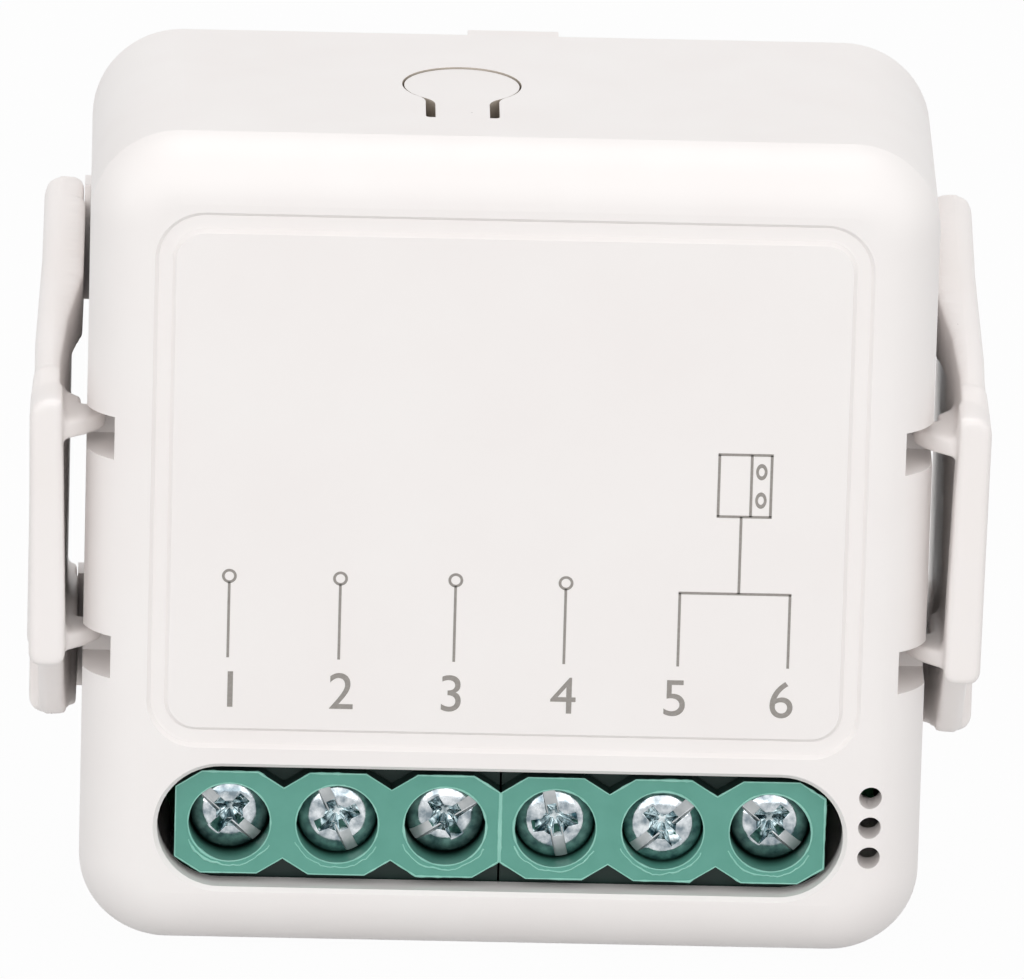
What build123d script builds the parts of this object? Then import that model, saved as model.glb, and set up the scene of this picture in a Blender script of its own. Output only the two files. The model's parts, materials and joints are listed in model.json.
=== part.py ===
from build123d import *
import math
import os

os.makedirs("parts", exist_ok=True)

# A square in-wall module that drives a garage door opener, clipped into its rear bracket.
# Millimetres. X runs to the right across the front, Y from the front to the back, Z up.
# The module stands on its bottom wall, where the wires go in.

# Driving dimensions of the terminals: the case is as wide as their row and its two margins
pitch = 5.0
pole_count = 6
case_margin = 4.5
partition = 0.7
well_radius = 1.925
well_depth = 3.5
well_floor = 0.6
cage_length = 3.6
cage_side = 0.6
cage_top_wall = 1.1
cage_bottom_wall = 0.7
cage_travel = 1.9
bar_thickness = 0.6
terminal_base = 0.55
head_play = 0.7

# Driving dimensions of the case
case_height = 39.2
case_corner = 4.1
wall = 1.5
front_wall = 1.6
rear_flare = 0.10
rim_radius = 3.0
crease_depth = 2.2
board_thickness = 1.2
back_room = 3.3
cover_thickness = 1.5

# Driving dimensions of the bracket
bracket_gap = 0.2
plate_thickness = 1.6
arm_gap = 1.05
arm_thickness = 1.2

# Clearances and the overrun that all cuts share
overrun = 1.0
snug_fit = 0.05
loose_fit = 0.10
hinge_gap = 0.05

# Depths of the terminals, one behind the other
tip_reach = 0.15
tip_gap = 0.10
shank_length = (
    well_floor + loose_fit + cage_travel + cage_top_wall + head_play + snug_fit + tip_reach
)
bar_depth = well_depth - snug_fit + shank_length + tip_gap
cage_open_depth = well_depth + well_floor + loose_fit + cage_travel
cage_height = bar_depth + bar_thickness + cage_travel + loose_fit + cage_bottom_wall - cage_open_depth
board_depth = cage_open_depth + cage_height + terminal_base
wire_depth = bar_depth + bar_thickness + (cage_travel + loose_fit) / 2

# Places that follow from the driving dimensions
case_width = pole_count * pitch + 2 * case_margin
case_depth = board_depth + board_thickness + back_room + cover_thickness
overall_depth = case_depth + bracket_gap + plate_thickness
case_bottom = rear_flare
case_top = case_bottom + case_height
case_middle = case_bottom + case_height / 2
half_case = case_width / 2
inner_half = half_case - wall
draft_angle = math.degrees(math.atan2(rear_flare, case_depth - crease_depth))
terminal_gap = 0.1
first_pole = -pitch * (pole_count - 1) / 2
pole_places = [
    math.copysign(abs(first_pole + pitch * pole) + terminal_gap / 2, first_pole + pitch * pole)
    for pole in range(pole_count)
]


def y_at(depth):
    return depth - overall_depth / 2


# A plane parallel to the front face: it looks out of the front, local x is X and local y is Z
def across(depth):
    return Plane(origin=(0, y_at(depth), 0), x_dir=(1, 0, 0), z_dir=(0, -1, 0))


def write(piece, name):
    piece.part.label = name
    export_step(piece.part, f"parts/{name}.step")


# Terminal blocks: heights above and below the screws, and the eight-sided lobes round them
terminal_floor_gap = 0.3
terminal_below = 4.35
terminal_foot = case_bottom + wall + terminal_floor_gap
screw_height = terminal_foot + terminal_below
terminal_face_depth = 0.8
terminal_shoulder_depth = 1.9
chamber_width = pitch - partition
chamber_length = cage_length + 2 * loose_fit
cage_width = chamber_width - 2 * loose_fit
leg_gap = 1.15
leg_thickness = 0.6
leg_height = screw_height + chamber_length / 2 + leg_gap + leg_thickness
terminal_crown = 1.5
terminal_top = leg_height + terminal_crown
lobe_height = 4.95
lobe_slope_run = 1.2
lobe_slope_drop = 0.77
lobe_flat = pitch - 2 * lobe_slope_run
lobe_waist = lobe_height - 2 * lobe_slope_drop

# Front housing: deep shell with a creased, rounded front rim
rim_overhang = rim_radius - math.sqrt(rim_radius**2 - (rim_radius - crease_depth) ** 2)
window_end = 0.9
window_gap = 0.475
window_edge = 0.2
window_width = pole_count * pitch + 2 * window_end
window_height = lobe_height + 2 * window_gap
groove_clearance = 0.95
groove_inset = 0.25
groove_corner = 2.3
groove_span = 1.0
groove_depth = 0.22
groove_slope = 40.0
groove_bottom = screw_height + window_height / 2 + groove_clearance
groove_top = case_top - rim_radius - groove_inset
groove_width = case_width - 2 * rim_radius
light_hole_radius = 0.53
light_hole_share = 0.333
light_hole_rise = 0.6
light_hole_pitch = 1.47
light_hole_place = window_width / 2 + light_hole_share * (half_case - window_width / 2)
light_hole_height = screw_height + light_hole_rise
notch_reach = 1.3
notch_height = 2.05
notch_depth = 4.5
notch_round = 0.6
notch_drop = 0.06
notch_spread = 10.63
notch_middle = case_middle - notch_drop
pad_wall = 1.1
pillar_radius = 1.6
pillar_bite_share = 0.3
wire_hole_web = 1.2
wire_hole_length = 3.8
wire_hole_corner = 1.3
wire_hole_width = pitch - wire_hole_web
seat_step = 0.7
snap_width = 4.0
snap_thickness = 1.1
snap_spread = 20.0
snap_barb = 0.4
snap_barb_height = 0.8
snap_length = 2.6

# Pairing button: round head on a narrow tongue, cut out of the top wall above the switch
switch_axis = 1.9
button_place = -2.5
button_radius = 2.67
button_thickness = 1.2
button_slit = 0.10
neck_width = 2.5
neck_slot = 0.45
neck_length = 5.1
neck_blend = 1.2
slot_end_radius = 0.2
button_depth = board_depth - switch_axis
neck_root_depth = button_depth - neck_length

with BuildPart() as front_housing:
    # The rounded rim is cut from a slightly wider block, which leaves a crease where it meets the walls
    with BuildSketch(across(rim_radius + overrun)):
        with Locations((0, case_middle)):
            RectangleRounded(
                case_width + 2 * rim_overhang, case_height + 2 * rim_overhang, case_corner + rim_overhang
            )
    extrude(amount=rim_radius + overrun)
    fillet(front_housing.faces().sort_by(Axis.Y)[0].edges(), rim_radius)
    with BuildSketch(across(case_depth)):
        with Locations((0, case_middle)):
            Rectangle(case_width + 2 * case_corner, case_height + 2 * case_corner)
    extrude(amount=case_depth - crease_depth)
    with BuildSketch(across(case_depth)):
        with Locations((0, case_middle)):
            RectangleRounded(
                case_width + 2 * rear_flare, case_height + 2 * rear_flare, case_corner + rear_flare
            )
    extrude(amount=case_depth + overrun, taper=draft_angle, mode=Mode.INTERSECT)

    # Hollow inside, with a seat for the rear cover
    with BuildSketch(across(case_depth + overrun)):
        with Locations((0, case_middle)):
            RectangleRounded(case_width - 2 * wall, case_height - 2 * wall, case_corner - wall)
    extrude(amount=case_depth + overrun - front_wall, mode=Mode.SUBTRACT)
    with BuildSketch(across(case_depth + overrun)):
        with Locations((0, case_middle)):
            RectangleRounded(
                case_width - 2 * (wall - seat_step),
                case_height - 2 * (wall - seat_step),
                case_corner - wall + seat_step,
            )
    extrude(amount=cover_thickness + overrun, mode=Mode.SUBTRACT)

    # Corner pillars that the board rests on
    with BuildSketch(across(front_wall)):
        with Locations((0, case_middle)):
            with GridLocations(
                2 * (inner_half - pillar_radius * (1 - pillar_bite_share)),
                case_height - 2 * wall - 2 * pillar_radius * (1 - pillar_bite_share),
                2,
                2,
            ):
                Circle(pillar_radius)
    extrude(amount=-(board_depth - front_wall))

    # Thicker wall behind the four clip notches, then the notches
    with BuildSketch(across(front_wall)):
        with Locations((0, notch_middle)):
            with GridLocations(2 * half_case - 2 * notch_reach - pad_wall, notch_spread, 2, 2):
                Rectangle(pad_wall, notch_height + 2 * pad_wall)
    extrude(amount=-(notch_depth + pad_wall - front_wall))
    for level in (notch_middle - notch_spread / 2, notch_middle + notch_spread / 2):
        for inner_place in (-half_case - overrun, half_case - notch_reach):
            with BuildSketch(Plane.YZ.offset(inner_place)):
                with BuildLine():
                    Polyline(
                        (y_at(notch_round), level - notch_height / 2),
                        (y_at(notch_depth), level - notch_height / 2),
                        (y_at(notch_depth), level + notch_height / 2),
                        (y_at(-overrun), level + notch_height / 2),
                        (y_at(-overrun), level - notch_height / 2 - notch_round),
                        (y_at(0), level - notch_height / 2 - notch_round),
                    )
                    RadiusArc(
                        (y_at(0), level - notch_height / 2 - notch_round),
                        (y_at(notch_round), level - notch_height / 2),
                        notch_round,
                    )
                make_face()
            extrude(amount=notch_reach + overrun, mode=Mode.SUBTRACT)

    # Terminal window in the front
    with BuildSketch(across(0)):
        with Locations((0, screw_height)):
            SlotOverall(window_width, window_height)
    extrude(amount=-(front_wall + overrun), mode=Mode.SUBTRACT)
    window_rim = front_housing.edges().filter_by_position(
        Axis.Y, y_at(-hinge_gap), y_at(hinge_gap)
    ).filter_by_position(
        Axis.Z, screw_height - window_height, screw_height + window_height / 2 + hinge_gap
    ).filter_by_position(Axis.X, -window_width / 2, window_width / 2)
    chamfer(window_rim, window_edge)

    # Three pinholes for the status light
    with BuildSketch(across(0)):
        with Locations((light_hole_place, light_hole_height)):
            with GridLocations(0, light_hole_pitch, 1, 3):
                Circle(light_hole_radius)
    extrude(amount=-(front_wall + overrun), both=True, mode=Mode.SUBTRACT)

    # Shallow ring with sloping sides round the printed panel
    groove_middle = (groove_bottom + groove_top) / 2
    groove_height = groove_top - groove_bottom
    slope_run = groove_depth * math.tan(math.radians(groove_slope))
    with BuildSketch(across(0)):
        with Locations((0, groove_middle)):
            RectangleRounded(groove_width, groove_height, groove_corner)
    extrude(amount=-groove_depth, taper=groove_slope, mode=Mode.SUBTRACT)
    with BuildSketch(across(groove_depth)):
        with Locations((0, groove_middle)):
            RectangleRounded(
                groove_width - 2 * groove_span + 2 * slope_run,
                groove_height - 2 * groove_span + 2 * slope_run,
                groove_corner - groove_span + slope_run,
            )
    extrude(amount=groove_depth, taper=groove_slope)

    # Wire entries in the bottom wall
    with BuildSketch(Plane.XY):
        with Locations((0, y_at(wire_depth))):
            with GridLocations(pitch, 0, pole_count, 1):
                RectangleRounded(wire_hole_width, wire_hole_length, wire_hole_corner)
    extrude(amount=wall + rear_flare + overrun / 2, mode=Mode.SUBTRACT)

    # Opening round the pairing button: a hair slit at the head, wider slots at the neck
    with BuildSketch(Plane.XY.offset(case_top - wall - overrun)) as button_opening:
        opening_radius = button_radius + button_slit
        opening_half_neck = neck_width / 2 + neck_slot
        meeting_depth = button_depth - math.sqrt(opening_radius**2 - opening_half_neck**2)
        with Locations((button_place, y_at(button_depth))):
            Circle(opening_radius)
        with Locations((button_place, y_at((neck_root_depth + button_depth) / 2))):
            Rectangle(2 * opening_half_neck, button_depth - neck_root_depth)
        fillet(
            button_opening.vertices().filter_by_position(
                Axis.Y, y_at(meeting_depth - hinge_gap), y_at(meeting_depth + hinge_gap)
            ),
            neck_blend - button_slit,
        )
        fillet(button_opening.vertices().sort_by(Axis.Y)[0:2], slot_end_radius)
    extrude(amount=wall + 2 * overrun, mode=Mode.SUBTRACT)

    # Pockets that the rear cover snaps into
    pocket_depth = case_depth - cover_thickness - snap_length
    with BuildSketch(across(pocket_depth + snap_barb_height + snug_fit)):
        with Locations((0, case_middle)):
            with GridLocations(2 * inner_half, snap_spread, 2, 2):
                Rectangle(2 * (snap_barb + snug_fit), snap_width + 2 * snug_fit)
    extrude(amount=snap_barb_height + 2 * snug_fit, mode=Mode.SUBTRACT)
write(front_housing, "front_housing")

# Rear cover: sits flush in its seat, with four snaps and four posts that hold the board down
post_radius = 1.0
with BuildPart() as rear_cover:
    with BuildSketch(across(case_depth)):
        with Locations((0, case_middle)):
            RectangleRounded(
                case_width - 2 * (wall - seat_step + snug_fit),
                case_height - 2 * (wall - seat_step + snug_fit),
                case_corner - wall + seat_step - snug_fit,
            )
    extrude(amount=cover_thickness)
    with BuildSketch(across(case_depth - cover_thickness)):
        with Locations((0, case_middle)):
            with GridLocations(
                2 * (inner_half - pillar_radius), case_height - 2 * (wall + pillar_radius), 2, 2
            ):
                Circle(post_radius)
    extrude(amount=case_depth - cover_thickness - board_depth - board_thickness)
    for side in (-1, 1):
        outer_face = side * (inner_half - snug_fit)
        with BuildSketch(across(case_depth - cover_thickness)):
            with Locations((outer_face - side * snap_thickness / 2, case_middle)):
                with GridLocations(0, snap_spread, 1, 2):
                    Rectangle(snap_thickness, snap_width)
        extrude(amount=snap_length)
        for place in (case_middle - snap_spread / 2, case_middle + snap_spread / 2):
            with BuildSketch(Plane.XY.offset(place - snap_width / 2)):
                with BuildLine():
                    Polyline(
                        (outer_face, y_at(pocket_depth)),
                        (outer_face + side * snap_barb, y_at(pocket_depth + snap_barb_height)),
                        (outer_face, y_at(pocket_depth + snap_barb_height)),
                        close=True,
                    )
                make_face()
            extrude(amount=snap_width)
write(rear_cover, "rear_cover")

# Pairing button, hinged where its neck meets the top wall, with a peg over the switch
peg_radius = 0.6
peg_gap = 0.06
plunger_rise = 0.8
switch_height = 3.6
switch_drop = 2.3
switch_top = case_top - wall - switch_drop
button_bottom = case_top - button_thickness
plunger_top = switch_top + plunger_rise
with BuildPart() as pairing_button:
    with BuildSketch(Plane.XY.offset(button_bottom)) as button_outline:
        half_neck = neck_width / 2
        meeting_depth = button_depth - math.sqrt(button_radius**2 - half_neck**2)
        with Locations((button_place, y_at(button_depth))):
            Circle(button_radius)
        with Locations((button_place, y_at((neck_root_depth + hinge_gap + button_depth) / 2))):
            Rectangle(neck_width, button_depth - neck_root_depth - hinge_gap)
        fillet(
            button_outline.vertices().filter_by_position(
                Axis.Y, y_at(meeting_depth - hinge_gap), y_at(meeting_depth + hinge_gap)
            ),
            neck_blend,
        )
    extrude(amount=button_thickness)
    with BuildSketch(Plane.XY.offset(button_bottom)):
        with Locations((button_place, y_at(button_depth))):
            Circle(peg_radius)
    extrude(amount=-(button_bottom - plunger_top - peg_gap))
write(pairing_button, "pairing_button")

# Tactile switch, lying on the board so that its plunger points up
switch_width = 6.0
switch_depth = 3.5
plunger_width = 2.4
plunger_depth = 1.4
plunger_inside = 1.2
plunger_travel = 0.35
with BuildPart() as tact_switch_body:
    with BuildSketch(Plane.XY.offset(switch_top - switch_height)):
        with Locations((button_place, y_at(board_depth - switch_depth / 2))):
            Rectangle(switch_width, switch_depth)
    extrude(amount=switch_height)
    with BuildSketch(Plane.XY.offset(switch_top)):
        with Locations((button_place, y_at(button_depth))):
            Rectangle(plunger_width + 2 * loose_fit, plunger_depth + 2 * loose_fit)
    extrude(amount=-(plunger_inside + plunger_travel + loose_fit), mode=Mode.SUBTRACT)
write(tact_switch_body, "tact_switch_body")

with BuildPart() as tact_switch_plunger:
    with BuildSketch(Plane.XY.offset(switch_top - plunger_inside)):
        with Locations((button_place, y_at(button_depth))):
            Rectangle(plunger_width, plunger_depth)
    extrude(amount=plunger_inside + plunger_rise)
write(tact_switch_plunger, "tact_switch_plunger")

# Two three-pole terminal blocks, side by side behind the window
poles_per_block = pole_count // 2
block_width = pitch * poles_per_block
block_middle = (terminal_foot + terminal_top) / 2
shank_hole_radius = 1.4
bar_side_gap = 0.15
entry_inset = 0.7
entry_flare = 12.0
bar_width = cage_width - 2 * cage_side - 2 * bar_side_gap
entry_width = cage_width - entry_inset
entry_length = cage_travel + loose_fit + bar_thickness
for name, side in (("terminal_block_left", -1), ("terminal_block_right", 1)):
    block_place = side * (block_width + terminal_gap) / 2
    with BuildPart() as terminal_block:
        with BuildSketch(across(board_depth)):
            with Locations((block_place, block_middle)):
                Rectangle(block_width, terminal_top - terminal_foot)
        extrude(amount=board_depth - terminal_shoulder_depth)
        # Chain of eight-sided lobes that shows in the window
        with BuildSketch(across(terminal_shoulder_depth)):
            with Locations((block_place, screw_height)):
                with GridLocations(pitch, 0, poles_per_block, 1):
                    Polygon(
                        (-pitch / 2, lobe_waist / 2),
                        (-lobe_flat / 2, lobe_height / 2),
                        (lobe_flat / 2, lobe_height / 2),
                        (pitch / 2, lobe_waist / 2),
                        (pitch / 2, -lobe_waist / 2),
                        (lobe_flat / 2, -lobe_height / 2),
                        (-lobe_flat / 2, -lobe_height / 2),
                        (-pitch / 2, -lobe_waist / 2),
                    )
        extrude(amount=terminal_shoulder_depth - terminal_face_depth)
        # Screw wells, with a floor that keeps the screws captive
        with Locations(across(terminal_face_depth)):
            with Locations((block_place, screw_height)):
                with GridLocations(pitch, 0, poles_per_block, 1):
                    CounterBoreHole(
                        radius=shank_hole_radius,
                        counter_bore_radius=well_radius,
                        counter_bore_depth=well_depth - terminal_face_depth,
                        depth=well_depth + well_floor + overrun - terminal_face_depth,
                    )
        # Chambers for the cages, open to the wires below
        with BuildSketch(across(well_depth + well_floor)):
            with Locations((block_place, screw_height)):
                with GridLocations(pitch, 0, poles_per_block, 1):
                    Rectangle(chamber_width, chamber_length)
        extrude(
            amount=-(cage_open_depth + cage_height + loose_fit - well_depth - well_floor),
            mode=Mode.SUBTRACT,
        )
        with BuildSketch(Plane.XY.offset(terminal_foot)):
            with Locations((block_place, y_at(wire_depth))):
                with GridLocations(pitch, 0, poles_per_block, 1):
                    Rectangle(entry_width, entry_length)
        extrude(
            amount=screw_height - chamber_length / 2 + overrun - terminal_foot,
            taper=entry_flare,
            mode=Mode.SUBTRACT,
        )
        # Slots for the contact bars and their legs
        with BuildSketch(across(bar_depth - loose_fit)):
            with Locations((block_place, (screw_height + leg_height + loose_fit) / 2)):
                with GridLocations(pitch, 0, poles_per_block, 1):
                    Rectangle(bar_width + 2 * loose_fit, leg_height + loose_fit - screw_height)
        extrude(amount=-(bar_thickness + 2 * loose_fit), mode=Mode.SUBTRACT)
        with BuildSketch(across(bar_depth)):
            with Locations((block_place, leg_height - leg_thickness / 2)):
                with GridLocations(pitch, 0, poles_per_block, 1):
                    Rectangle(bar_width + 2 * loose_fit, leg_thickness + 2 * loose_fit)
        extrude(amount=-(board_depth + overrun - bar_depth), mode=Mode.SUBTRACT)
    write(terminal_block, name)

# Six captive screws: pan heads with a slot and a cross, each resting at its own depth and turn
head_clearance = 0.075
head_rim = 0.65
head_thickness = 1.4
head_slope = 0.5
shank_radius = 1.25
slot_width = 0.7
slot_depth = 0.5
cross_width = 0.62
cross_length = 2.1
cross_depth = 0.95
cross_flare = 12.0
screw_turns = (-42.0, -65.0, 33.0, -78.0, 41.0, -41.0)
head_sink_shares = (0.95, 0.45, 0.95, 0.4, 0.05, 0.85)
head_radius = well_radius - head_clearance
plateau_radius = head_radius - head_slope
for number, screw_place in enumerate(pole_places, start=1):
    head_bottom = well_depth - snug_fit - head_play * (1 - head_sink_shares[number - 1])
    turn = screw_turns[number - 1]
    head_top = head_bottom - head_thickness
    with BuildPart() as terminal_screw:
        with BuildSketch(Plane.XY.offset(screw_height)):
            with BuildLine():
                Polyline(
                    (screw_place, y_at(head_top)),
                    (screw_place + plateau_radius, y_at(head_top)),
                    (screw_place + head_radius, y_at(head_bottom - head_rim)),
                    (screw_place + head_radius, y_at(head_bottom)),
                    (screw_place + shank_radius, y_at(head_bottom)),
                    (screw_place + shank_radius, y_at(head_bottom + shank_length)),
                    (screw_place, y_at(head_bottom + shank_length)),
                    close=True,
                )
            make_face()
        revolve(axis=Axis((screw_place, 0, screw_height), (0, 1, 0)))
        with BuildSketch(across(head_top)):
            with Locations(Location((screw_place, screw_height), turn)):
                Rectangle(2 * head_radius + overrun, slot_width)
        extrude(amount=-slot_depth, mode=Mode.SUBTRACT)
        with BuildSketch(across(head_top)):
            with Locations(Location((screw_place, screw_height), turn)):
                Rectangle(cross_length, cross_width)
                Rectangle(cross_width, cross_length)
        extrude(amount=-cross_depth, taper=cross_flare, mode=Mode.SUBTRACT)
    write(terminal_screw, f"terminal_screw_{number}")

    # Clamp cage: the screw draws it forward, and its rear wall presses the wire to the contact bar
    with BuildPart() as clamp_cage:
        with BuildSketch(Plane.XY.offset(screw_height - cage_length / 2)):
            with Locations((screw_place, y_at(cage_open_depth + cage_height / 2))):
                Rectangle(cage_width, cage_height)
            with Locations(
                (screw_place, y_at(cage_open_depth + (cage_height + cage_top_wall - cage_bottom_wall) / 2))
            ):
                Rectangle(
                    cage_width - 2 * cage_side,
                    cage_height - cage_top_wall - cage_bottom_wall,
                    mode=Mode.SUBTRACT,
                )
        extrude(amount=cage_length)
        with Locations(across(cage_open_depth)):
            with Locations((screw_place, screw_height)):
                Hole(shank_radius + loose_fit / 2, depth=cage_top_wall + loose_fit)
    write(clamp_cage, f"clamp_cage_{number}")

# Six contact bars with their solder pins
bar_end_gap = 0.5
pin_width = 0.9
pin_length = 2.4
bar_bottom = screw_height - chamber_length / 2 + bar_end_gap
with BuildPart() as terminal_contacts:
    for bar_place in pole_places:
        with BuildSketch(Plane.YZ.offset(bar_place)):
            with BuildLine():
                Polyline(
                    (y_at(bar_depth), bar_bottom),
                    (y_at(bar_depth), leg_height),
                    (y_at(board_depth), leg_height),
                    (y_at(board_depth), leg_height - leg_thickness),
                    (y_at(bar_depth + bar_thickness), leg_height - leg_thickness),
                    (y_at(bar_depth + bar_thickness), bar_bottom),
                    close=True,
                )
            make_face()
        extrude(amount=bar_width / 2, both=True)
        with BuildSketch(across(board_depth)):
            with Locations((bar_place, leg_height - leg_thickness / 2)):
                Rectangle(pin_width, leg_thickness)
        extrude(amount=-pin_length)
write(terminal_contacts, "terminal_contacts")

# Main board, parallel to the front, with slots for the terminal pins
board_margin = 0.2
board_corner = 2.0
pin_slot_gap = 0.15
with BuildPart() as main_board:
    with BuildSketch(across(board_depth + board_thickness)):
        with Locations((0, case_middle)):
            RectangleRounded(
                2 * (inner_half - board_margin), case_height - 2 * (wall + board_margin), board_corner
            )
        for place in pole_places:
            with Locations((place, leg_height - leg_thickness / 2)):
                Rectangle(
                    pin_width + 2 * pin_slot_gap, leg_thickness + 2 * pin_slot_gap, mode=Mode.SUBTRACT
                )
    extrude(amount=board_thickness)
write(main_board, "main_board")

# Parts on the front of the board share the field above the terminals. Their places and sizes are
# shares of half the board's width, of the field's height and of the room in front of the board.
field_gap = 0.4
room_gap = 0.5
half_board = inner_half - board_margin
field_bottom = terminal_top + field_gap
field_height = case_top - wall - board_margin - field_bottom
room = board_depth - front_wall - room_gap


def field_place(across_share, up_share):
    return (across_share * half_board, field_bottom + up_share * field_height)


def round_size(across_share, up_share):
    return min(across_share * half_board, up_share * field_height)


# Relay that closes the door opener's push-button input, and the optocoupler of the supply
box_edge = 0.15
relay_shares = (-0.742, 0.407, 0.393, 0.698, 0.970)
coupler_shares = (0.567, 0.853, 0.247, 0.178, 0.343)
for name, shares in (("relay", relay_shares), ("optocoupler", coupler_shares)):
    across_share, up_share, width_share, length_share, height_share = shares
    with BuildPart() as board_box:
        with BuildSketch(across(board_depth)):
            with Locations(field_place(across_share, up_share)):
                Rectangle(width_share * half_board, length_share * field_height)
        extrude(amount=height_share * room)
        chamfer(board_box.edges().filter_by(Axis.Y), box_edge)
    write(board_box, name)

# Transformer of the isolated supply: two E-shaped core halves round a wound bobbin
core_width_share = 0.674
core_length_share = 0.372
core_height_share = 0.909
leg_share = 0.2
limb_share = 0.27
stack_share = 0.36
transformer_shares = (-0.169, 0.264)
winding_gap = 0.1
core_width = core_width_share * half_board
core_length = core_length_share * field_height
core_height = core_height_share * room
core_leg = leg_share * core_length
core_limb = limb_share * core_width
core_thickness = stack_share * core_height
core_slot = (core_width - 2 * core_leg - core_limb) / 2
core_room = core_length - 2 * core_leg
transformer_place, transformer_level = field_place(*transformer_shares)
with BuildPart() as transformer_core:
    with BuildSketch(across(board_depth - (core_height - core_thickness) / 2)):
        with Locations((transformer_place, transformer_level)):
            Rectangle(core_width, core_length)
            with GridLocations(core_limb + core_slot, 0, 2, 1):
                Rectangle(core_slot, core_room, mode=Mode.SUBTRACT)
    extrude(amount=core_thickness)
write(transformer_core, "transformer_core")

with BuildPart() as transformer_bobbin:
    with BuildSketch(Plane.XY.offset(transformer_level - core_room / 2 + winding_gap)):
        with Locations((transformer_place, y_at(board_depth - core_height / 2))):
            Rectangle(core_width - 2 * core_leg - 2 * winding_gap, core_height)
            Rectangle(core_limb + 2 * winding_gap, core_thickness + 2 * winding_gap, mode=Mode.SUBTRACT)
    extrude(amount=core_room - 2 * winding_gap)
write(transformer_bobbin, "transformer_bobbin")

# Smoothing capacitors, standing on the board
input_capacitor_shares = ((0.404, 0.170), (0.404, 0.446))
output_capacitor_shares = ((-0.753, 0.860), (-0.461, 0.860))
input_can_shares = (0.177, 0.122)
output_can_shares = (0.140, 0.097)
input_height_share = 0.95
output_height_share = 0.83
can_edge_share = 0.13
for name, shares, can_shares, height_share in (
    ("input_capacitors", input_capacitor_shares, input_can_shares, input_height_share),
    ("output_capacitors", output_capacitor_shares, output_can_shares, output_height_share),
):
    radius = round_size(*can_shares)
    with BuildPart() as cans:
        with BuildSketch(across(board_depth)):
            with Locations(*[field_place(*share) for share in shares]):
                Circle(radius)
        extrude(amount=height_share * room)
        chamfer(cans.faces().sort_by(Axis.Y)[: len(shares)].edges(), can_edge_share * radius)
    write(cans, name)

# Varistor: a coated disc on edge, on two short legs
varistor_shares = (0.404, 0.643)
varistor_size_shares = (0.191, 0.132)
varistor_thickness_share = 0.76
varistor_edge_share = 0.2
varistor_leg_share = 0.5
varistor_radius = round_size(*varistor_size_shares)
varistor_thickness = varistor_thickness_share * varistor_radius
varistor_leg_radius = 0.3
varistor_leg_gap = 0.9
varistor_place, varistor_level = field_place(*varistor_shares)
with BuildPart() as varistor:
    with BuildSketch(Plane.XY.offset(varistor_level - varistor_thickness / 2)):
        with Locations((varistor_place, y_at(board_depth - varistor_leg_gap - varistor_radius))):
            Circle(varistor_radius)
    extrude(amount=varistor_thickness)
    chamfer(varistor.edges(), varistor_edge_share * varistor_radius)
    with BuildSketch(across(board_depth)):
        with Locations((varistor_place, varistor_level)):
            with GridLocations(2 * varistor_leg_share * varistor_radius, 0, 2, 1):
                Circle(varistor_leg_radius)
    extrude(amount=varistor_leg_gap + varistor_radius)
write(varistor, "varistor")

# Fusible resistor, lying on the board
fuse_shares = (-0.169, 0.604)
fuse_size_shares = (0.084, 0.058)
fuse_length_share = 0.449
fuse_edge_share = 0.4
fuse_radius = round_size(*fuse_size_shares)
fuse_length = fuse_length_share * half_board
fuse_place, fuse_level = field_place(*fuse_shares)
with BuildPart() as fuse_resistor:
    with BuildSketch(Plane.YZ.offset(fuse_place - fuse_length / 2)):
        with Locations((y_at(board_depth - fuse_radius), fuse_level)):
            Circle(fuse_radius)
    extrude(amount=fuse_length)
    chamfer(fuse_resistor.edges(), fuse_edge_share * fuse_radius)
write(fuse_resistor, "fuse_resistor")

# Choke: a drum core with a waist full of wire
choke_shares = (0.270, 0.848)
choke_waist_share = 0.85
choke_flange_share = 0.09
choke_height_share = 0.656
choke_size_shares = (0.147, 0.101)
choke_radius = round_size(*choke_size_shares)
choke_waist = choke_waist_share * choke_radius
choke_flange = choke_flange_share * room
choke_height = choke_height_share * room
with BuildPart() as choke:
    for start_height, radius, length in (
        (0, choke_radius, choke_flange),
        (choke_flange, choke_waist, choke_height - 2 * choke_flange),
        (choke_height - choke_flange, choke_radius, choke_flange),
    ):
        with BuildSketch(across(board_depth - start_height)):
            with Locations(field_place(*choke_shares)):
                Circle(radius)
        extrude(amount=length)
write(choke, "choke")

# Flat parts on the back of the board: rectifier, supply chip, regulator and driver
chip_shares = (
    (0.20, 0.05, 0.28, 0.26, 1.0),
    (-0.32, 0.10, 0.28, 0.22, 0.9),
    (-0.30, 0.55, 0.20, 0.16, 0.7),
    (0.42, 0.52, 0.16, 0.16, 0.7),
)
chip_height_share = 0.48
with BuildPart() as board_chips:
    for across_share, up_share, width_share, length_share, height_share in chip_shares:
        with BuildSketch(across(board_depth + board_thickness)):
            with Locations(field_place(across_share, up_share)):
                Rectangle(width_share * half_board, length_share * half_board)
        extrude(amount=-chip_height_share * height_share * back_room)
write(board_chips, "board_chips")

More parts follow.
